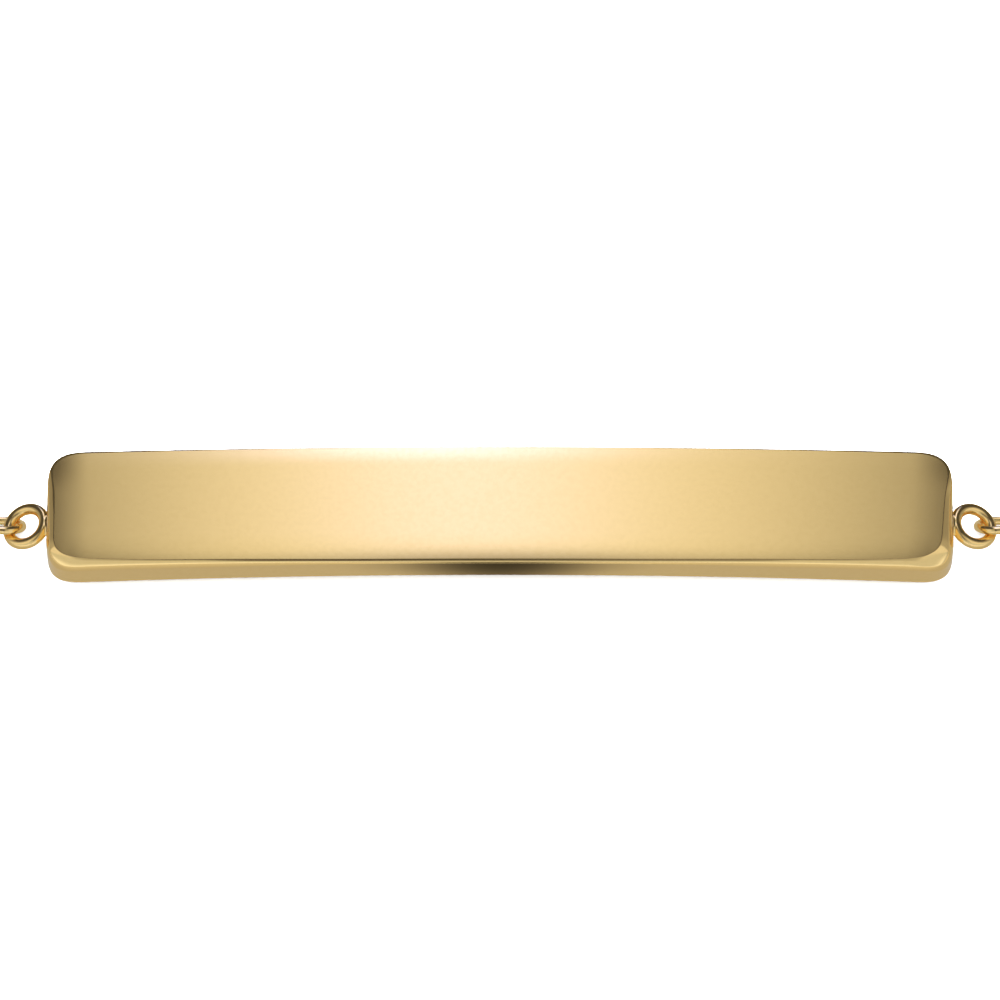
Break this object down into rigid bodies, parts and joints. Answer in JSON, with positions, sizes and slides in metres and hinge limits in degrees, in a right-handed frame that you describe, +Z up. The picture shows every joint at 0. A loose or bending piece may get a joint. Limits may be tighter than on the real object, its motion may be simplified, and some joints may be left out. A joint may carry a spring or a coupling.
{
  "type": "bar bracelet",
  "caption": "Polished gold bracelet: a slim arched bar with rounded corners, soldered wire end rings, an oval cable chain and a round spring-ring clasp, lying closed.",
  "frame": {"origin": "centre of the bracelet's outline on the surface it lies on", "axes": "+X along the bar, to the right of someone who faces it; +Y from the bar to the clasp; +Z up, out of the bar's face"},
  "size_m": [0.0714, 0.0466, 0.0033],
  "materials": {
    "bar_gold": "polished yellow gold with a fine grain along the bar",
    "chain_gold": "mirror-polished yellow gold wire",
    "clasp_gold": "polished yellow gold"
  },
  "bodies": {
    "root": {"bar": "bar_gold", "chain_left": "chain_gold", "chain_right": "chain_gold", "clasp": "clasp_gold", "clasp_catch_ring": "clasp_gold"}
  },
  "joints": []
}
